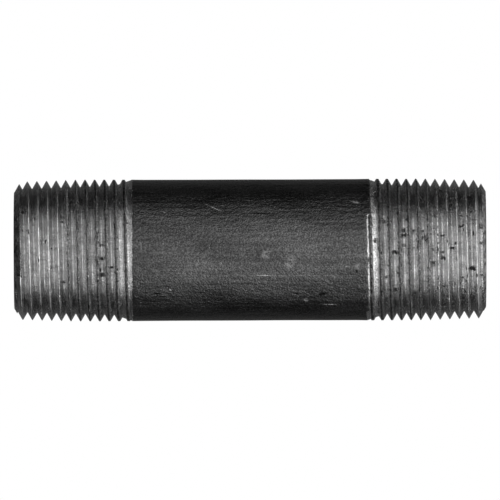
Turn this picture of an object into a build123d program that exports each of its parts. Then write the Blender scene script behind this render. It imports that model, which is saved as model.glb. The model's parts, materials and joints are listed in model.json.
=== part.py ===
from build123d import *

import os
from math import atan, degrees, radians, tan

# A 3/4 in schedule 40 steel pipe nipple with a 60 degree taper pipe thread (NPT) on each end.
# Sizes are in millimetres. The pipe's axis is X, and the origin is on it, halfway along the pipe.

INCH = 25.4

# The pipe
NIPPLE_LENGTH = 3.5 * INCH
PIPE_DIAMETER = 1.050 * INCH
WALL_THICKNESS = 0.113 * INCH

# The ends: a cone outside that leads the thread in, and a small deburring cone inside
END_FACE_RADIUS = 10.90
END_CHAMFER_ANGLE = 60
BORE_DEBURR = 0.15

# The thread: 3/4-14 NPT in ASME B1.20.1
PITCH = INCH / 14
RADIAL_TAPER = 1 / 32
PITCH_DIAMETER_AT_END = 0.96768 * INCH
THREAD_DEPTH = 0.8 * PITCH
ROOT_FLAT = 0.038 * PITCH
FLANK_ANGLE = 30

# How far the thread runs, and the slope on which the die's throat lets the grooves run out
THREADED_LENGTH = 12.3 * PITCH
THROAT_ANGLE = 19

# How deep behind its end face each thread's first groove crosses the part's top line.
# The two ends are cut one after the other, so their threads don't start at the same angle.
LEFT_FIRST_GROOVE = 0.88 * PITCH
RIGHT_FIRST_GROOVE = 0.76 * PITCH

# The groove is cut one turn at a time, and its run-out in one longer stretch
FULL_TURNS = 9
RUNOUT_TURNS = 3.8

# How far the cutting bodies reach past the metal. The flanks stop just above the crests,
# so that neighbouring turns of the cutter don't touch.
FLANK_OVERRUN = 0.03
CUTTER_OVERRUN = 0.3
THROAT_OVERRUN = 0.6

half_length = NIPPLE_LENGTH / 2
pipe_radius = PIPE_DIAMETER / 2
bore_radius = pipe_radius - WALL_THICKNESS
root_radius_at_end = (PITCH_DIAMETER_AT_END - THREAD_DEPTH) / 2
crest_radius_at_end = root_radius_at_end + THREAD_DEPTH

# The crests lie on a cone, until that cone meets the pipe's own surface
crest_cone_length = (pipe_radius - crest_radius_at_end) / RADIAL_TAPER
chamfer_slope = tan(radians(END_CHAMFER_ANGLE))
chamfer_length = (crest_radius_at_end - END_FACE_RADIUS) / (chamfer_slope - RADIAL_TAPER)
chamfer_top_radius = END_FACE_RADIUS + chamfer_slope * chamfer_length


def groove_stretch(depth, turns):
    """A stretch of the thread's groove. Z runs from the end face into the pipe."""
    root_radius = root_radius_at_end + RADIAL_TAPER * depth
    flank_top = THREAD_DEPTH + FLANK_OVERRUN
    cutter_top = THREAD_DEPTH + CUTTER_OVERRUN
    half_mouth = ROOT_FLAT / 2 + flank_top * tan(radians(FLANK_ANGLE))
    with BuildPart() as groove:
        with BuildLine() as root_line:
            Helix(
                pitch=PITCH,
                height=turns * PITCH,
                radius=root_radius,
                center=(0, 0, depth),
                cone_angle=degrees(atan(RADIAL_TAPER)),
            )
        with BuildSketch(Plane(origin=root_line.line @ 0, x_dir=(1, 0, 0), z_dir=(0, -1, 0))):
            with BuildLine():
                flank = Polyline(
                    (0, ROOT_FLAT / 2),
                    (flank_top, half_mouth),
                    (cutter_top, half_mouth),
                    (cutter_top, 0),
                )
                mirror(flank, about=Plane.XZ)
                Line((0, ROOT_FLAT / 2), (0, -ROOT_FLAT / 2))
            make_face()
        sweep(path=root_line.line, is_frenet=True)

        # Past the throat cone the die leaves the metal standing
        throat_slope = tan(radians(THROAT_ANGLE))
        throat_start = THREADED_LENGTH - (pipe_radius - root_radius) / throat_slope
        if depth + turns * PITCH + half_mouth > throat_start:
            outer_radius = pipe_radius + THROAT_OVERRUN
            throat_end = THREADED_LENGTH + THROAT_OVERRUN / throat_slope
            past_groove = throat_end + RUNOUT_TURNS * PITCH
            with BuildSketch(Plane.XZ):
                with BuildLine():
                    Polyline(
                        (root_radius, throat_start),
                        (outer_radius, throat_end),
                        (outer_radius, past_groove),
                        (root_radius, past_groove),
                        close=True,
                    )
                make_face()
            revolve(axis=Axis.Z, mode=Mode.SUBTRACT)
    return groove.part


def threaded_half(first_groove):
    """Half of the nipple with its thread. Z runs from the end face into the pipe."""
    grooves = [groove_stretch(first_groove + turn * PITCH, 1) for turn in range(-1, FULL_TURNS)]
    grooves.append(groove_stretch(first_groove + FULL_TURNS * PITCH, RUNOUT_TURNS))
    with BuildPart() as half:
        with BuildSketch(Plane.XZ):
            with BuildLine():
                Polyline(
                    (bore_radius, half_length),
                    (pipe_radius, half_length),
                    (pipe_radius, crest_cone_length),
                    (chamfer_top_radius, chamfer_length),
                    (END_FACE_RADIUS, 0),
                    (bore_radius + BORE_DEBURR, 0),
                    (bore_radius, BORE_DEBURR),
                    close=True,
                )
            make_face()
        revolve(axis=Axis.Z)
        for groove in grooves:
            add(groove, mode=Mode.SUBTRACT)
    return half.part


left_half = threaded_half(LEFT_FIRST_GROOVE)
right_half = threaded_half(RIGHT_FIRST_GROOVE)

# Each end's own frame: the end face is its XY plane, and its X axis points to the part's top
left_end = Plane(origin=(-half_length, 0, 0), x_dir=(0, 0, 1), z_dir=(1, 0, 0))
right_end = Plane(origin=(half_length, 0, 0), x_dir=(0, 0, 1), z_dir=(-1, 0, 0))

with BuildPart() as pipe_nipple:
    with Locations(left_end):
        add(left_half)
    with Locations(right_end):
        add(right_half)
pipe_nipple.part.label = "pipe_nipple"

os.makedirs("parts", exist_ok=True)
export_step(pipe_nipple.part, "parts/pipe_nipple.step")
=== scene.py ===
import json
import math

import bpy
import numpy as np
from mathutils import Euler, Matrix, Vector
from mathutils.noise import noise as noise_at


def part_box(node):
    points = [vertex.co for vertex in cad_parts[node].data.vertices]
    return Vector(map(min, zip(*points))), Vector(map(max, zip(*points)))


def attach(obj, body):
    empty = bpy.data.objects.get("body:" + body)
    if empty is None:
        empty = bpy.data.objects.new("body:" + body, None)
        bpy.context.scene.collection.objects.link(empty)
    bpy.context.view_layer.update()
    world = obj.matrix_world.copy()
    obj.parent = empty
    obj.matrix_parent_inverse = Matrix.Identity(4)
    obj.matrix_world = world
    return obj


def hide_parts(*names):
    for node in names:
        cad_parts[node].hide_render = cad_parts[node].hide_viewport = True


# A threaded pipe nipple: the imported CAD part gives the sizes, and this script gives it its real surface,
# with cut threads, mill scale, nicks and pits. Metres, in the CAD's own frame: the pipe's axis is X.

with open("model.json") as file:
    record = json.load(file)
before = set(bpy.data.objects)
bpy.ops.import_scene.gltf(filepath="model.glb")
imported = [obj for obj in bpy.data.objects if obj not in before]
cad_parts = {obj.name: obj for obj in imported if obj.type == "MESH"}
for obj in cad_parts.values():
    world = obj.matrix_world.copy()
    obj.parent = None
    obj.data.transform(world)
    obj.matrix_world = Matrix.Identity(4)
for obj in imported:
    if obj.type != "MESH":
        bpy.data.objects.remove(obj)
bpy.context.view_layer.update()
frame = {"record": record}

MM = 0.001
INCH = 25.4 * MM
NODE = "pipe_nipple"

# ---------------------------------------------------------------- sizes
mounts = {mount["name"]: mount for mount in frame["record"]["mounts"]}
HALF_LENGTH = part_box(NODE)[1].x
PIPE_RADIUS = mounts["shank"]["dims"]["r_mm"] * MM
BORE_RADIUS = mounts["bore"]["dims"]["r_mm"] * MM
THREADED_LENGTH = mounts["left_thread"]["dims"]["length_mm"] * MM
SHANK_END = HALF_LENGTH - THREADED_LENGTH

# 3/4-14 NPT, as the CAD part cuts it
PITCH = INCH / 14
TAPER = 1 / 32
THREAD_DEPTH = 0.8 * PITCH
ROOT_FLAT = 0.038 * PITCH
ROOT_RADIUS = (0.96768 * INCH - THREAD_DEPTH) / 2
CREST_RADIUS = ROOT_RADIUS + THREAD_DEPTH
FLANK_SLOPE = 1 / math.tan(math.radians(30))
THROAT_SLOPE = math.tan(math.radians(19))
FIRST_GROOVE = {"left": 0.88 * PITCH, "right": 0.76 * PITCH}

# The die's four chasers stopped at the right end without turning on, so the thread there ends in four steps
CHASERS = 4
CHASER_STOP = 0.8345
CHASER_STEP = {"left": 0, "right": PITCH / CHASERS}
RUNOUT_RAGGED = 0.02 * MM
RUNOUT_RIPPLES = (17, 29, 41)

# The ends and the bore, where the pipe's weld has left a low bead
FACE_RADIUS = 10.90 * MM
CHAMFER_SLOPE = math.tan(math.radians(60))
DEBURR = 0.15 * MM
WELD_TURN = 0.68
BEAD_HEIGHT = 0.22 * MM
BEAD_WIDTH = 0.9 * MM

# The mesh: columns run round the pipe, rows run along it, and stops are shares of a flank or the chamfer.
# Rows merge at the chamfer's end, the brink is the last row before the run-out, and a point within
# SKIN_DEPTH of the pipe's surface lies on it.
COLUMNS = 224
GROOVE_RANGE = range(-2, 14)
FLANK_STOPS = (0.12, 0.5, 0.88)
ROWS_PER_GROOVE = 2 * len(FLANK_STOPS) + 5
CHAMFER_STOPS = (0.0, 0.33, 0.67, 1.0)
SHANK_STEP = 0.75 * MM
BORE_STEP = 1.6 * MM
MERGE = 0.02 * MM
BRINK = 0.12 * MM
SKIN_DEPTH = 0.002 * MM
SHARP_ANGLE = 65

# The chart for baking: the outer skin unrolled, with the thread's surface followed up and down its flanks,
# and beside it the bore with the end faces
OUTER_CHART_WIDTH = 2 * math.pi * PIPE_RADIUS
THREAD_CHART_LENGTH = 40.7 * MM
OUTER_CHART_LENGTH = 2 * (THREAD_CHART_LENGTH + SHANK_END)
CHART_GAP = 1 * MM
BORE_CHART_START = OUTER_CHART_WIDTH + CHART_GAP
FACE_CHART = 1 * MM
CHART_MARGIN = 2 * MM
CHART_SIZE = 155 * MM

# Wear in the shape. Each wave of the crests' waver is how often it goes round the pipe,
# and the radians that it slips from crest to crest.
SEED = 14
NICKS = {"left": 60, "right": 110}
NICK_DEPTHS = (0.04 * MM, 0.2 * MM)
NICK_RADII = (0.25 * MM, 0.6 * MM)
CREST_WAVER = 0.06 * MM
WAVER_WAVES = ((7, 3), (13, -1))
SWELL_DEPTH = 0.08 * MM
SWELL_LENGTH = 14 * MM
SWELL_WIDTH = 4.5 * MM
SWELL_FADE = 2 * MM

SHANK, THREAD, END, BORE = range(4)

# ---------------------------------------------------------------- finishes
# How much light the steel gives back: black scale, cut metal, and what marks each of them
SCALE_TONE = 0.085
FLECK_TONE = 0.3
BLOT_TONE = 0.01
RUB_TONE = 0.2
SCRATCH_TONE = 0.5
CUT_TONE = 0.525
PIT_TONE = 0.08
SPECK_TONE = 0.01
# Painted highlight: how much the cut metal's colour is raised on the crests, partly for burnished burrs,
# and in the groove bottoms
EDGE_HIGHLIGHT_GAIN = 1.3

SCALE_ROUGHNESS = (0.27, 0.34)
CUT_ROUGHNESS = (0.14, 0.21)
MARK_ROUGHNESS = 0.6
END_DULLNESS = 0.1
BORE_DULLNESS = 0.15
RELIEF_HEIGHT = 0.034 * MM

# What share of the cut surface's cells hold a pit, and what share of that the bigger, rarer pits have
PIT_SHARE = {"left": 0.2, "right": 0.65, "face": 0.6}
BIG_PIT_SHARE = 0.7

# Millimetres from the end face between which the crests come to keep the pipe's black skin
SKINNED_CRESTS = (7.0, 11.0)
SKIN_STRENGTH = 0.85

# Heights on the thread, 0 at the root and 1 at the crest, between which these set in or end. The first two
# bound the painted highlight on the crests, which partly stands for burnished burrs, and in the groove
# bottoms
BURR_HIGHLIGHT_HEIGHTS = (0.86, 0.98)
ROOT_HIGHLIGHT_HEIGHTS = (0.02, 0.16)
SKIN_HEIGHTS = (0.76, 1.05)
SPECK_HEIGHTS = (0.4, 0.6)

# How sharply the noises cut the skin's edge, the tears, the crests' painted highlight on the burrs and the
# marks of handling
BARE_EDGE = (0.3, 0.55)
TORN_EDGE = (0.2, 0.6)
BURR_HIGHLIGHT_EDGE = (0.35, 0.6)
BLOT_EDGE = (0.25, 0.45)
RUB_EDGE = (0.4, 0.58)
SCRATCH_EDGE = (0.35, 0.5)

# Spans that a noise's values are taken to lie in: the narrower the span, the stronger the contrast
WIDE_SPAN = (0.25, 0.75)
USUAL_SPAN = (0.3, 0.7)
NARROW_SPAN = (0.35, 0.65)
GRAIN_SPAN = (0.34, 0.68)

# A spot's full-strength core as a share of its width, and the width below which there is no spot
SPOT_CORE = 0.6
LEAST_SPOT = 0.02

# How deep a mark reaches into the pipe in millimetres, and where it fades, in half sizes from its middle
MARK_REACH = 4.0
MARK_FADE = (1.3, 0.6)

# Marks on the camera's side: place along the pipe, elevation round it, length, width and heading,
# in millimetres and degrees
SCRATCHES = (
    (2.6, -21.0, 2.6, 0.13),
    (-7.0, 37.2, 3.8, 0.13, -29),
    (14.9, -50.6, 2.4, 0.26),
    (10.5, -45.2, 0.8, 0.7),
    (-15.0, -34.0, 0.5, 0.25, -40),
    (19.8, 42.2, 1.5, 0.5, -12),
)
RUBS = (
    (4.3, -21.4, 36.0, 0.16),
    (3.1, -3.4, 2.2, 1.6, 60),
    (7.5, -10.3, 3.0, 1.8, 75),
    (20.3, -13.8, 1.6, 1.2),
)
BLOTS = (
    (13.6, -38.7, 1.5, 0.7, 15),
    (8.8, -38.0, 0.6, 0.4),
    (20.0, -17.5, 0.5, 0.8),
    (-17.5, -37.5, 1.6, 0.35),
    (2.5, 31.0, 5.0, 0.25),
)
TEARS = (
    (29.2, 12.7, 0.45, 0.9),
    (27.4, -2.6, 0.5, 1.0, 30),
    (29.5, 25.8, 0.9, 0.45, -45),
    (32.4, 10.6, 0.3, 1.1),
    (33.2, 8.4, 1.0, 0.3, 40),
    (36.4, 12.6, 0.5, 0.4),
    (40.0, 21.8, 0.6, 0.5),
    (38.2, 1.4, 0.5, 0.5),
    (38.6, 5.3, 0.4, 0.6),
    (42.0, -17.6, 0.9, 0.9),
    (40.4, -40.3, 0.7, 0.6),
    (41.5, 57.9, 0.8, 1.0),
    (-27.8, -7.3, 0.35, 0.7),
    (-27.9, -22.4, 0.6, 0.9),
    (-28.1, -17.0, 0.4, 0.9),
    (-37.3, 1.9, 0.4, 0.4),
    (-35.3, 27.0, 0.4, 0.4),
    (-42.6, 39.0, 0.6, 0.8),
    (-26.0, -15.1, 0.6, 0.4, 30),
)

# ---------------------------------------------------------------- studio sizes, in metres and degrees
FRAME_WIDTH = 94.25 * MM
CAMERA_DISTANCE = 4.0
CAMERA_ROLL = 0.2
SENSOR = 36
PANEL_DISTANCE = 0.8
PANEL_HEIGHT = 2.3
PANEL_ELEVATION = -6
WORLD_FILL = 0.02
WHITE = (1, 1, 1, 1)
FLOOR_HALF_SIZE = 3.0

# How far the contact shadow reaches, and how much of the view has to point down for it to show in full
SHADOW_REACH = 0.03
SHADOW_STEEPNESS = 1 / 3


# ---------------------------------------------------------------- the thread's profile
# Depths count from the end face into the pipe, and a turn is a share of the way round it
def crest_line(depth):
    """Radius of the crests: a cone, until it meets the pipe's own surface."""
    return np.minimum(CREST_RADIUS + TAPER * depth, PIPE_RADIUS)


def chamfer_line(depth):
    """Radius of the end chamfer."""
    return FACE_RADIUS + CHAMFER_SLOPE * depth


def runout_depth(end, turn):
    """Depth at which the thread has run out to the pipe's own surface."""
    since_stop = ((turn - CHASER_STOP) * CHASERS) % 1
    ragged = sum(math.sin(2 * math.pi * ripple * turn + ripple) for ripple in RUNOUT_RIPPLES)
    return THREADED_LENGTH + CHASER_STEP[end] * (since_stop - 0.5) + RUNOUT_RAGGED * ragged


def floor_line(depth, runout):
    """Radius of the groove's floor: the root cone, then the steeper cone of the die's throat."""
    throat = PIPE_RADIUS - (runout - depth) * THROAT_SLOPE
    return np.minimum(np.maximum(ROOT_RADIUS + TAPER * depth, throat), crest_line(depth))


def groove_corners(centre, runout):
    """Depths of a groove's four corners: mouth, floor, floor and mouth, going into the pipe."""
    half_mouth = ROOT_FLAT / 2 + THREAD_DEPTH / FLANK_SLOPE
    near = centre - ROOT_FLAT / 2
    far = centre + ROOT_FLAT / 2
    near_line = ROOT_RADIUS + near * FLANK_SLOPE
    far_line = ROOT_RADIUS - far * FLANK_SLOPE
    throat_line = PIPE_RADIUS - runout * THROAT_SLOPE
    near_mouth = np.maximum(centre - half_mouth, (near_line - PIPE_RADIUS) / (FLANK_SLOPE - TAPER))
    far_mouth = np.minimum(centre + half_mouth, (PIPE_RADIUS - far_line) / (FLANK_SLOPE + TAPER))
    near_floor = np.minimum(near, (near_line - throat_line) / (FLANK_SLOPE - TAPER + THROAT_SLOPE))
    far_floor = np.maximum(far, (throat_line - far_line) / (FLANK_SLOPE + TAPER - THROAT_SLOPE))
    near_mouth = np.minimum(near_mouth, runout)
    far_mouth = np.minimum(far_mouth, runout)
    near_floor = np.clip(near_floor, near_mouth, runout)
    far_floor = np.clip(far_floor, near_floor, far_mouth)
    return near_mouth, near_floor, far_floor, far_mouth


def thread_column(end, turn):
    """The rows of one column on a threaded end: their depths, radii and heights.

    Heights go from 0 at the root to 1 at the crest. The last value says whether the column's groove is
    still open at its brink, next to the run-out.
    """
    runout = runout_depth(end, turn)
    centres = FIRST_GROOVE[end] + PITCH * (np.array(GROOVE_RANGE, float) + turn)
    near_mouth, near_floor, far_floor, far_mouth = groove_corners(centres, runout)
    next_mouth = np.maximum(np.append(near_mouth[1:], runout), far_mouth)
    land = (far_mouth + next_mouth) / 2
    depths, radii, heights = [], [], []

    def add(depth, radius, height):
        """Add one row to every groove."""
        depths.append(depth)
        radii.append(radius)
        heights.append(np.full_like(depth, height))

    add(near_mouth, crest_line(near_mouth), 1.0)
    for stop in FLANK_STOPS:
        depth = near_mouth + stop * (near_floor - near_mouth)
        radius = (1 - stop) * crest_line(near_mouth) + stop * floor_line(near_floor, runout)
        add(depth, radius, 1 - stop)
    add(near_floor, floor_line(near_floor, runout), 0.0)
    add(far_floor, floor_line(far_floor, runout), 0.0)
    for stop in FLANK_STOPS:
        depth = far_floor + stop * (far_mouth - far_floor)
        radius = (1 - stop) * floor_line(far_floor, runout) + stop * crest_line(far_mouth)
        add(depth, radius, stop)
    add(far_mouth, crest_line(far_mouth), 1.0)
    add(land, crest_line(land), 1.0)
    brink = runout - BRINK
    open_brink = bool(np.any((near_mouth < brink) & (far_mouth > brink)))
    return *(np.array(part).T.ravel() for part in (depths, radii, heights)), open_brink


def chamfer_end(depths, radii):
    """Depth at which the end chamfer comes out through the thread."""
    gap = radii - chamfer_line(depths)
    inside = np.argmax((gap <= 0) & (depths > 0))
    before, after = gap[inside - 1], gap[inside]
    share = before / (before - after)
    return depths[inside - 1] + share * (depths[inside] - depths[inside - 1])


# ---------------------------------------------------------------- the mesh
class Skin:
    """The nipple's surface while it is put together: vertices and faces, and what each of them carries."""

    def __init__(self):
        self.points = []
        self.heights = []
        self.bares = []
        self.faces = []
        self.chart = []
        self.materials = []

    def point(self, place, height, bare):
        """Add a vertex. Bare is 1 where metal has been cut, and 0 where the pipe's black skin is left."""
        self.points.append(place)
        self.heights.append(height)
        self.bares.append(bare)
        return len(self.points) - 1

    def strip(self, rows, next_rows, across, next_across, material):
        """Faces between two columns of rows. A row is a vertex and how far along the chart it lies.

        Where vertices have merged, the face has fewer corners or none.
        """
        for row in range(len(rows) - 1):
            corners = {}
            for (vertex, along), side in (
                (rows[row], across),
                (rows[row + 1], across),
                (next_rows[row + 1], next_across),
                (next_rows[row], next_across),
            ):
                corners.setdefault(vertex, (side, along))
            if len(corners) > 2:
                self.faces.append(list(corners))
                self.chart += corners.values()
                self.materials.append(material)

    def tube(self, rows, chart_start, chart_width, material):
        """Faces all the way round between rows that each hold one vertex per column."""
        for column in range(COLUMNS):
            after = (column + 1) % COLUMNS
            self.strip(
                [row[column] for row in rows],
                [row[after] for row in rows],
                chart_start + chart_width * column / COLUMNS,
                chart_start + chart_width * (column + 1) / COLUMNS,
                material,
            )


def place_at(end, depth, radius, turn):
    """A point of one end in the part's frame. Turn 0 is the top, and turns follow the thread inwards."""
    side = 1 if end == "left" else -1
    angle = 2 * math.pi * turn
    return side * (depth - HALF_LENGTH), -side * radius * math.sin(angle), radius * math.cos(angle)


def chamfer_rows(skin, end, turn, thread_start):
    """The rows of one column from the end face's edge up the chamfer to where it meets the thread."""
    rows = []
    for stop in CHAMFER_STOPS:
        depth = stop * thread_start
        radius = chamfer_line(depth)
        vertex = skin.point(place_at(end, depth, radius, turn), height=0.5, bare=1)
        rows.append((vertex, math.hypot(depth, radius - FACE_RADIUS)))
    return rows


def thread_rows(skin, end, turn, profile, first_row, thread_start):
    """The rows of one column from the chamfer to the run-out."""
    depths, radii, heights, open_brink = profile
    runout = runout_depth(end, turn)
    brink = runout - BRINK
    rows = []
    along = first_row[1]
    last = (thread_start, chamfer_line(thread_start))
    for depth, radius, height in zip(depths, radii, heights):
        if depth < thread_start + MERGE:
            rows.append(first_row)
        elif depth > brink:
            rows.append(None)
        else:
            along += math.hypot(depth - last[0], radius - last[1])
            last = (depth, radius)
            bare = 0 if radius > PIPE_RADIUS - SKIN_DEPTH else 1
            rows.append((skin.point(place_at(end, depth, radius, turn), height, bare), along))
    brink_radius = floor_line(brink, runout) if open_brink else PIPE_RADIUS
    along += math.hypot(brink - last[0], brink_radius - last[1])
    bare = int(open_brink)
    brink_row = (skin.point(place_at(end, brink, brink_radius, turn), height=0.5, bare=bare), along)
    rim_row = (skin.point(place_at(end, runout, PIPE_RADIUS, turn), height=1, bare=bare), along + BRINK)
    return [row or brink_row for row in rows] + [brink_row, rim_row]


def threaded_end(skin, end):
    """One threaded end. Returns its face edge and its run-out rim, each in the pipe's column order."""
    columns = []
    for column in range(COLUMNS):
        turn = column / COLUMNS
        profile = thread_column(end, turn)
        thread_start = chamfer_end(profile[0], profile[1])
        head = chamfer_rows(skin, end, turn, thread_start)
        columns.append((head, thread_rows(skin, end, turn, profile, head[-1], thread_start)))

    # One turn on, each row is the same row of the next groove
    head, body = columns[0]
    columns.append((head, body[ROWS_PER_GROOVE:-1] + [body[-2]] * ROWS_PER_GROOVE + [body[-1]]))

    # The right end is charted from the far edge, and its turns run the other way
    across = [OUTER_CHART_WIDTH * column / COLUMNS for column in range(COLUMNS + 1)]
    if end == "right":
        across.reverse()
        columns = [
            tuple([(vertex, OUTER_CHART_LENGTH - along) for vertex, along in rows] for rows in pair)
            for pair in columns
        ]
    for column in range(COLUMNS):
        head, body = columns[column]
        next_head, next_body = columns[column + 1]
        sides = across[column], across[column + 1]
        skin.strip(head, next_head, *sides, END)
        skin.strip(head[-1:] + body, next_head[-1:] + next_body, *sides, THREAD)
    face_edge = [head[0] for head, _ in columns[:-1]]
    rim = [body[-1] for _, body in columns[:-1]]
    if end == "left":
        return face_edge, rim
    return tuple([edge[-column % COLUMNS] for column in range(COLUMNS)] for edge in (face_edge, rim))


def ring(skin, x, radius_at, along, bare):
    """One row of vertices round the pipe's axis."""
    row = []
    for column in range(COLUMNS):
        turn = column / COLUMNS
        angle = 2 * math.pi * turn
        radius = radius_at(turn)
        point = (x, -radius * math.sin(angle), radius * math.cos(angle))
        row.append((skin.point(point, height=1, bare=bare), along))
    return row


def shank_radius(turn):
    """Radius of the shank, the same all round."""
    return PIPE_RADIUS


def bore_radius(turn):
    """Radius of the bore, less the low bead that the pipe's weld leaves inside it."""
    away = (turn - WELD_TURN + 0.5) % 1 - 0.5
    bead = BEAD_HEIGHT * math.exp(-((away * 2 * math.pi * BORE_RADIUS / BEAD_WIDTH) ** 2))
    return BORE_RADIUS - bead


def lip_radius(turn):
    """Radius of the bore's deburred edge."""
    return bore_radius(turn) + DEBURR


def spaced(start, end, step):
    """Evenly spaced places from start to end, both included."""
    count = round(abs(end - start) / step)
    return [start + (end - start) * i / count for i in range(count + 1)]


def build_skin():
    """The whole closed surface of the nipple."""
    skin = Skin()
    left_face, left_rim = threaded_end(skin, "left")
    right_face, right_rim = threaded_end(skin, "right")
    shank = [
        ring(skin, x, shank_radius, OUTER_CHART_LENGTH / 2 + x, bare=0)
        for x in spaced(-SHANK_END, SHANK_END, SHANK_STEP)[1:-1]
    ]
    skin.tube([left_rim, *shank, right_rim], 0, OUTER_CHART_WIDTH, SHANK)

    # The end faces and the bore, from the right to the left
    length = 2 * HALF_LENGTH
    bore_end = HALF_LENGTH - DEBURR
    bore = [
        ring(skin, x, bore_radius, HALF_LENGTH - x, bare=1)
        for x in spaced(bore_end, -bore_end, BORE_STEP)
    ]
    right_lip = ring(skin, HALF_LENGTH, lip_radius, 0, bare=1)
    left_lip = ring(skin, -HALF_LENGTH, lip_radius, length, bare=1)
    right_edge = [(vertex, -FACE_CHART) for vertex, _ in right_face]
    left_edge = [(vertex, length + FACE_CHART) for vertex, _ in left_face]
    bore_chart_width = 2 * math.pi * BORE_RADIUS
    for rows, material in (
        ([right_edge, right_lip], END),
        ([right_lip, *bore, left_lip], BORE),
        ([left_lip, left_edge], END),
    ):
        skin.tube(rows, BORE_CHART_START, bore_chart_width, material)
    return skin


# ---------------------------------------------------------------- wear in the shape
def nick(points, heights, crests, count, chance):
    """How far each point is pushed in by nicks at random places on the crests."""
    push = np.zeros(len(points))
    for centre in chance.choice(crests, count, replace=False):
        depth = chance.uniform(*NICK_DEPTHS)
        radius = chance.uniform(*NICK_RADII)
        away = np.linalg.norm(points - points[centre], axis=1) / radius
        push = np.maximum(push, depth * np.exp(-away ** 2) * heights)
    return push


def crest_waver(along, angle):
    """How far the crests are pushed in by their waver. Along counts in pitches."""
    waver = 1.0
    for rounds, slip in WAVER_WAVES:
        waver = waver * np.sin(rounds * angle + slip * along)
    return CREST_WAVER * (0.5 + 0.5 * waver)


def worn(points, heights):
    """The points with nicked and wavering crests, and the swells of hot rolling. All moves go inwards."""
    chance = np.random.default_rng(SEED)
    radii = np.hypot(points[:, 1], points[:, 2])
    angle = np.arctan2(points[:, 2], points[:, 1])
    push = np.zeros(len(points))
    for end, side in (("left", -1), ("right", 1)):
        on_thread = side * points[:, 0] > SHANK_END
        crests = np.flatnonzero((heights == 1) & on_thread & (radii > FACE_RADIUS))
        push = np.maximum(push, nick(points, heights, crests, NICKS[end], chance))
        sharp = crests[radii[crests] < PIPE_RADIUS - SKIN_DEPTH]
        push[sharp] += crest_waver(points[sharp, 0] / PITCH, angle[sharp])
    from_runout = SHANK_END - np.abs(points[:, 0])
    for index in np.flatnonzero((from_runout > 0) & (radii > PIPE_RADIUS - SKIN_DEPTH)):
        x, y, z = points[index]
        swell = noise_at(Vector((x / SWELL_LENGTH, y / SWELL_WIDTH, z / SWELL_WIDTH)))
        push[index] = SWELL_DEPTH * (0.5 + 0.5 * swell) * min(1, from_runout[index] / SWELL_FADE)
    points[:, 1:] *= (1 - push / radii)[:, None]
    return points


# ---------------------------------------------------------------- node helpers
def fresh_tree(owner):
    """The emptied node tree of a material or world."""
    owner.use_nodes = True
    owner.node_tree.nodes.clear()
    return owner.node_tree


def show(tree, kind, surface):
    """Link a surface to the tree's output."""
    shown = tree.nodes.new(kind)
    tree.links.new(surface, shown.inputs["Surface"])


def node(tree, kind, inputs, output=0, **settings):
    """Add one node, fill or link its inputs, and return one of its outputs."""
    made = tree.nodes.new(kind)
    for name, value in settings.items():
        setattr(made, name, value)
    for socket, value in inputs.items():
        if isinstance(value, bpy.types.NodeSocket):
            tree.links.new(value, made.inputs[socket])
        else:
            made.inputs[socket].default_value = value
    return made.outputs[output]


def calc(tree, operation, first, *others):
    """Work one number out of several, with a node for each step. A lone number is paired with 0."""
    for other in others or [0.0]:
        first = node(tree, "ShaderNodeMath", {0: first, 1: other}, operation=operation)
    return first


def weighted(tree, *parts):
    """The sum of several numbers, each with its weight."""
    return calc(tree, "ADD", *[calc(tree, "MULTIPLY", value, weight) for value, weight in parts])


def between(tree, value, low, high, start=0.0, end=1.0):
    """Map a value from low..high to start..end, with soft shoulders."""
    inputs = {"Value": value, "From Min": low, "From Max": high, "To Min": start, "To Max": end}
    return node(tree, "ShaderNodeMapRange", inputs, interpolation_type="SMOOTHSTEP")


def vary(tree, source, least, most, span=USUAL_SPAN):
    """Let a noise move a number from least to most."""
    return between(tree, source, *span, least, most)


def blend(tree, share, first, second):
    """Mix two numbers."""
    return node(tree, "ShaderNodeMix", {0: share, 2: first, 3: second})


def carried(tree, name):
    """A value that the mesh carries at its vertices."""
    return node(tree, "ShaderNodeAttribute", {}, "Fac", attribute_name=name)


def place(tree, stretch=(1, 1, 1)):
    """Where the surface point is, in millimetres, with each axis stretched."""
    here = node(tree, "ShaderNodeTexCoord", {}, "Object")
    scale = tuple(factor / MM for factor in stretch)
    return node(tree, "ShaderNodeVectorMath", {0: here, 1: scale}, operation="MULTIPLY")


def noise(tree, size, detail, stretch=(1, 1, 1), output=0):
    """Noise whose features are about `size` millimetres across."""
    inputs = {"Vector": place(tree, stretch), "Scale": 1 / size, "Detail": detail}
    return node(tree, "ShaderNodeTexNoise", inputs, output)


def spots(tree, where, size, share, reach):
    """Scattered spots: `share` of the cells of this size hold one, `reach` of a cell wide at most."""
    inputs = {"Vector": where, "Scale": 1 / size}
    distance = node(tree, "ShaderNodeTexVoronoi", inputs, "Distance")
    colour = node(tree, "ShaderNodeTexVoronoi", inputs, "Color")
    dice = node(tree, "ShaderNodeSeparateColor", {0: colour})
    width = between(tree, dice, calc(tree, "SUBTRACT", 1.0, share), 1, 0, reach)
    core = calc(tree, "MULTIPLY", width, SPOT_CORE)
    outside = node(tree, "ShaderNodeMapRange", {"Value": distance, "From Min": core, "From Max": width})
    empty = calc(tree, "LESS_THAN", width, LEAST_SPOT)
    return calc(tree, "SUBTRACT", 1.0, calc(tree, "MAXIMUM", outside, empty))


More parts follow.
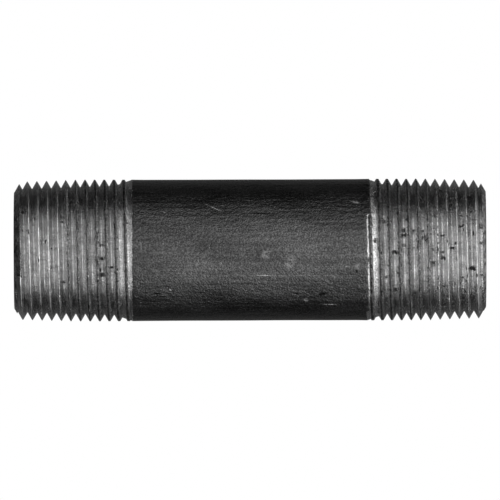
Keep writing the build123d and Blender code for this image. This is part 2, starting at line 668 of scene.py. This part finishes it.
def mark(tree, along, elevation, length, width, heading=0.0):
    """A soft mark on the camera's side: 1 in its middle, 0 outside. Millimetres and degrees."""
    up = math.radians(elevation)
    turned = Matrix.Rotation(-up, 3, "X") @ Matrix.Rotation(math.radians(-heading), 3, "Y")
    radius = PIPE_RADIUS / MM
    here = node(tree, "ShaderNodeMapping", {
        "Vector": place(tree),
        "Location": (along, -radius * math.cos(up), radius * math.sin(up)),
        "Rotation": turned.to_euler(),
        "Scale": (length / 2, MARK_REACH, width / 2),
    }, vector_type="TEXTURE")
    away = node(tree, "ShaderNodeVectorMath", {0: here}, "Value", operation="LENGTH")
    outer, inner = MARK_FADE
    return node(tree, "ShaderNodeMapRange", {"Value": away, "From Min": outer, "From Max": inner})


def marks(tree, places):
    """Several marks together."""
    return calc(tree, "MAXIMUM", *[mark(tree, *spot) for spot in places])


# ---------------------------------------------------------------- looks: colour, roughness and relief
def scale_look(tree):
    """Lacquered mill scale: near black, grainy, faintly drawn along the pipe."""
    grain = noise(tree, size=0.28, detail=4, stretch=(0.9, 1, 1))
    ripples = noise(tree, size=0.7, detail=3, stretch=(0.6, 1, 1))
    drawn = noise(tree, size=0.7, detail=3, stretch=(0.05, 1, 1))
    patches = noise(tree, size=5.0, detail=4, stretch=(0.5, 1, 1))
    flecks = spots(tree, place(tree, (0.7, 1, 1)), size=1.6, share=0.4, reach=0.11)
    grained = vary(tree, grain, 0.62, 1.5, GRAIN_SPAN)
    patched = vary(tree, patches, 0.8, 1.2)
    streaked = vary(tree, drawn, 0.8, 1.2, WIDE_SPAN)
    colour = calc(tree, "MULTIPLY", SCALE_TONE, grained, patched, streaked)
    colour = blend(tree, flecks, colour, FLECK_TONE)
    roughness = vary(tree, patches, *SCALE_ROUGHNESS)
    relief = weighted(tree, (grain, 3.9), (ripples, 4.2), (drawn, 2.0))
    return colour, roughness, relief


def pits_and_tears(tree, grain, pit_share):
    """Where the die has torn the steel: pits of two sizes, and the marked tears with a grainy edge."""
    wobble = noise(tree, size=0.625, detail=3, output="Color")
    straight = place(tree, (1.3, 0.6, 0.6))
    where = node(tree, "ShaderNodeVectorMath", {0: straight, 1: wobble}, operation="ADD")
    big_share = calc(tree, "MULTIPLY", pit_share, BIG_PIT_SHARE)
    small = spots(tree, where, size=0.8, share=pit_share, reach=0.42)
    big = spots(tree, where, size=2.6, share=big_share, reach=0.14)
    torn = calc(tree, "ADD", marks(tree, TEARS), vary(tree, grain, -0.3, 0.1))
    return calc(tree, "MAXIMUM", small, big, between(tree, torn, *TORN_EDGE))


def cut_look(tree, pit_share):
    """Steel cut by a die: fine lines round the pipe, grain, pits and torn flecks."""
    lines = noise(tree, size=0.12, detail=3, stretch=(1, 0.03, 0.03))
    grain = noise(tree, size=0.16, detail=3, stretch=(1, 0.6, 0.6))
    blotches = noise(tree, size=1.2, detail=5, stretch=(1, 0.5, 0.5))
    lined = vary(tree, lines, 0.75, 1.25, WIDE_SPAN)
    grained = vary(tree, grain, 0.75, 1.25)
    blotched = vary(tree, blotches, 0.88, 1.1)
    pits = pits_and_tears(tree, grain, pit_share)
    colour = calc(tree, "MULTIPLY", CUT_TONE, lined, grained, blotched)
    colour = blend(tree, pits, colour, PIT_TONE)
    roughness = vary(tree, blotches, *CUT_ROUGHNESS)
    roughness = blend(tree, pits, roughness, MARK_ROUGHNESS)
    relief = weighted(tree, (lines, 4.0), (grain, 2.6), (pits, -3.0))
    return colour, roughness, relief


def shank_look(tree):
    """Mill scale with the scratches, rubbed patches and dark blots of handling."""
    colour, roughness, relief = scale_look(tree)
    broken = noise(tree, size=0.4, detail=3, stretch=(0.6, 1, 1))
    blots = calc(tree, "MULTIPLY", marks(tree, BLOTS), between(tree, broken, *BLOT_EDGE))
    rubs = calc(tree, "MULTIPLY", marks(tree, RUBS), between(tree, broken, *RUB_EDGE))
    scratches = calc(tree, "MULTIPLY", marks(tree, SCRATCHES), between(tree, broken, *SCRATCH_EDGE))
    for mask, tone in ((blots, BLOT_TONE), (rubs, RUB_TONE), (scratches, SCRATCH_TONE)):
        colour = blend(tree, mask, colour, tone)
    roughness = blend(tree, scratches, roughness, MARK_ROUGHNESS)
    return colour, roughness, relief


def painted_edge_highlight(tree, height, fringe):
    """How much brighter the crests and the bottoms of the grooves are painted than the flanks: painted
    highlight, on the crests partly for burnished burrs.
    """
    crest = between(tree, height, *BURR_HIGHLIGHT_HEIGHTS)
    burr_highlight = calc(tree, "MULTIPLY", crest, between(tree, fringe, *BURR_HIGHLIGHT_EDGE))
    # Painted highlight in the groove bottoms
    root = between(tree, height, *ROOT_HIGHLIGHT_HEIGHTS, 1.0, 0.0)
    return blend(tree, calc(tree, "MAXIMUM", burr_highlight, root), 1.0, EDGE_HIGHLIGHT_GAIN)


def bared(tree, height, skinned, fringe):
    """Where the die has bared the steel: 0 on black skin, 1 on cut metal, with a ragged edge between."""
    fray = noise(tree, size=0.26, detail=3, stretch=(1, 0.8, 0.8))
    ragged = calc(tree, "ADD", height, vary(tree, fray, -0.55, 0.42, NARROW_SPAN))
    skin = calc(tree, "MULTIPLY", skinned, between(tree, ragged, *SKIN_HEIGHTS, 0.0, SKIN_STRENGTH))
    cut = calc(tree, "SUBTRACT", carried(tree, "bare"), skin)
    return between(tree, calc(tree, "ADD", cut, vary(tree, fringe, -0.4, 0.5)), *BARE_EDGE)


def crest_specks(tree, height, skinned):
    """Dark specks on the crests that keep their skin."""
    specks = spots(tree, place(tree), size=0.62, share=0.8, reach=0.44)
    return calc(tree, "MULTIPLY", specks, between(tree, height, *SPECK_HEIGHTS), skinned)


def thread_look(tree):
    """Cut metal, with a painted highlight on the bare crests near the face and in the groove bottoms, and
    the pipe's black skin on the later crests.
    """
    along = node(tree, "ShaderNodeSeparateXYZ", {0: place(tree)}, "X")
    from_face = calc(tree, "SUBTRACT", HALF_LENGTH / MM, calc(tree, "ABSOLUTE", along))
    skinned = between(tree, from_face, *SKINNED_CRESTS)
    height = carried(tree, "height")
    fringe = noise(tree, size=0.28, detail=3, stretch=(1, 0.6, 0.6))
    on_right = calc(tree, "GREATER_THAN", along)
    pit_share = blend(tree, on_right, PIT_SHARE["left"], PIT_SHARE["right"])

    black, black_roughness, black_relief = scale_look(tree)
    colour, roughness, relief = cut_look(tree, pit_share)
    # Painted highlight on the crests, partly for burnished burrs, and in the groove bottoms
    colour = calc(tree, "MULTIPLY", colour, painted_edge_highlight(tree, height, fringe))
    bare = bared(tree, height, skinned, fringe)
    colour = blend(tree, bare, black, colour)
    colour = blend(tree, crest_specks(tree, height, skinned), colour, SPECK_TONE)
    roughness = blend(tree, bare, black_roughness, roughness)
    relief = blend(tree, bare, black_relief, relief)
    return colour, roughness, relief


def end_look(tree):
    """The faced and chamfered end: turned steel, dull and partly blackened."""
    colour, roughness, relief = cut_look(tree, PIT_SHARE["face"])
    stains = noise(tree, size=1.1, detail=4)
    colour = calc(tree, "MULTIPLY", colour, vary(tree, stains, 0.2, 0.9, NARROW_SPAN))
    return colour, calc(tree, "ADD", roughness, END_DULLNESS), relief


def bore_look(tree):
    """The bore: dull scale with marks along the pipe."""
    colour, roughness, relief = scale_look(tree)
    runs = noise(tree, size=1.4, detail=4, stretch=(0.08, 1, 1))
    colour = calc(tree, "MULTIPLY", colour, vary(tree, runs, 1.3, 2.8))
    return colour, calc(tree, "ADD", roughness, BORE_DULLNESS), relief


def steel(name, look):
    """A metal whose colour, roughness and relief come from a look."""
    material = bpy.data.materials.new(name)
    tree = fresh_tree(material)
    colour, roughness, relief = look(tree)
    bump = node(tree, "ShaderNodeBump", {"Height": relief, "Distance": RELIEF_HEIGHT})
    surface = node(tree, "ShaderNodeBsdfPrincipled", {
        "Base Color": colour, "Metallic": 1.0, "Roughness": roughness, "Normal": bump,
    })
    show(tree, "ShaderNodeOutputMaterial", surface)
    return material


# ---------------------------------------------------------------- the nipple
def make_nipple():
    """The nipple's mesh with its carried values, its chart for baking and its four materials."""
    skin = build_skin()
    points = worn(np.array(skin.points), np.array(skin.heights))
    mesh = bpy.data.meshes.new("nipple_steel")
    mesh.from_pydata(points.tolist(), [], skin.faces)
    mesh.polygons.foreach_set("use_smooth", [True] * len(mesh.polygons))
    mesh.polygons.foreach_set("material_index", skin.materials)
    for name, values in (("height", skin.heights), ("bare", skin.bares)):
        layer = mesh.attributes.new(name, "FLOAT", "POINT")
        layer.data.foreach_set("value", np.array(values, np.float32))
    chart = mesh.uv_layers.new(name="OFBake")
    chart.data.foreach_set("uv", ((np.array(skin.chart) + CHART_MARGIN) / CHART_SIZE).ravel())

    # In the order of SHANK, THREAD, END and BORE
    mesh.materials.append(steel("black_scale", shank_look))
    mesh.materials.append(steel("cut_thread", thread_look))
    mesh.materials.append(steel("turned_end", end_look))
    mesh.materials.append(steel("bore_scale", bore_look))
    mesh.update()
    mesh.set_sharp_from_angle(angle=math.radians(SHARP_ANGLE))
    made = bpy.data.objects.new("nipple_steel", mesh)
    bpy.context.scene.collection.objects.link(made)
    return made


nipple = make_nipple()
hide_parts(NODE)
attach(nipple, "root")


# ---------------------------------------------------------------- studio
def make_camera():
    """A long lens square on to the pipe's side, level with its axis."""
    data = bpy.data.cameras.new("camera")
    data.sensor_width = SENSOR
    data.lens = SENSOR * CAMERA_DISTANCE / FRAME_WIDTH
    data.clip_end = 10 * CAMERA_DISTANCE
    made = bpy.data.objects.new("camera", data)
    bpy.context.scene.collection.objects.link(made)
    made.location = (0, -CAMERA_DISTANCE, 0)
    made.rotation_euler = (math.radians(90), math.radians(CAMERA_ROLL), 0)
    bpy.context.scene.camera = made
    return made


def light(camera, name, data, azimuth, elevation, distance):
    """Hang a light on the camera, so that it turns with it. Azimuth counts to the right, elevation up."""
    made = bpy.data.objects.new(name, data)
    bpy.context.scene.collection.objects.link(made)
    made.parent = camera
    made.rotation_euler = Euler((math.radians(-elevation), math.radians(azimuth), 0), "XYZ")
    pipe = Vector((0, 0, -CAMERA_DISTANCE))
    made.location = pipe + made.rotation_euler.to_matrix() @ Vector((0, 0, distance))
    made.visible_camera = False


def disc(camera, name, half_angle, radiance, azimuth=0.0, elevation=0.0):
    """A far round light that covers this half angle of the sky."""
    data = bpy.data.lights.new(name, "SUN")
    data.angle = 2 * math.radians(half_angle)
    data.energy = radiance * math.pi * math.sin(math.radians(half_angle)) ** 2
    light(camera, name, data, azimuth, elevation, 0)


def panel(camera, name, azimuth, width, radiance):
    """A tall flat softbox that faces the pipe."""
    data = bpy.data.lights.new(name, "AREA")
    data.shape = "RECTANGLE"
    data.size = width
    data.size_y = PANEL_HEIGHT
    data.energy = radiance * math.pi * width * PANEL_HEIGHT
    light(camera, name, data, azimuth, PANEL_ELEVATION, PANEL_DISTANCE)


def make_lights(camera):
    """Three nested discs in front, a faint one behind, and two softboxes on the right."""
    disc(camera, "front_wide", half_angle=77, radiance=0.36, elevation=-5)
    disc(camera, "front_middle", half_angle=55, radiance=0.32, elevation=-5)
    disc(camera, "front_core", half_angle=32, radiance=0.25, elevation=-4)
    disc(camera, "back", half_angle=50, radiance=0.09, azimuth=180)
    panel(camera, "key", azimuth=50, width=0.55, radiance=2.2)
    panel(camera, "side", azimuth=100, width=0.9, radiance=0.65)


def make_world():
    """White for the camera, and only a faint fill for the steel."""
    world = bpy.data.worlds.new("studio")
    bpy.context.scene.world = world
    tree = fresh_tree(world)
    fill = node(tree, "ShaderNodeBackground", {"Color": WHITE, "Strength": WORLD_FILL})
    white = node(tree, "ShaderNodeBackground", {"Color": WHITE, "Strength": 1.0})
    camera_ray = node(tree, "ShaderNodeLightPath", {}, "Is Camera Ray")
    both = node(tree, "ShaderNodeMixShader", {0: camera_ray, 1: fill, 2: white})
    show(tree, "ShaderNodeOutputWorld", both)


def floor_material():
    """White, with a soft contact shadow that fades out as the floor is seen edge-on."""
    material = bpy.data.materials.new("floor")
    tree = fresh_tree(material)
    openness = node(tree, "ShaderNodeAmbientOcclusion", {"Distance": SHADOW_REACH}, "AO")
    facing = node(tree, "ShaderNodeNewGeometry", {}, "Incoming")
    upright = node(tree, "ShaderNodeSeparateXYZ", {0: facing}, "Z")
    strength = node(tree, "ShaderNodeMapRange", {"Value": upright, "From Max": SHADOW_STEEPNESS})
    glow = node(tree, "ShaderNodeEmission", {"Color": blend(tree, strength, 1.0, openness)})
    show(tree, "ShaderNodeOutputMaterial", glow)
    return material


def make_floor():
    """A pale floor under the pipe, which only the camera sees."""
    half = FLOOR_HALF_SIZE
    corners = [(-half, -half, 0), (half, -half, 0), (half, half, 0), (-half, half, 0)]
    mesh = bpy.data.meshes.new("floor")
    mesh.from_pydata(corners, [], [(0, 1, 2, 3)])
    mesh.materials.append(floor_material())
    floor = bpy.data.objects.new("floor", mesh)
    floor.location = (0, 0, -PIPE_RADIUS)
    floor.visible_diffuse = False
    floor.visible_glossy = False
    floor.visible_shadow = False
    bpy.context.scene.collection.objects.link(floor)


make_lights(make_camera())
make_world()
make_floor()
bpy.context.scene.view_settings.view_transform = "Standard"
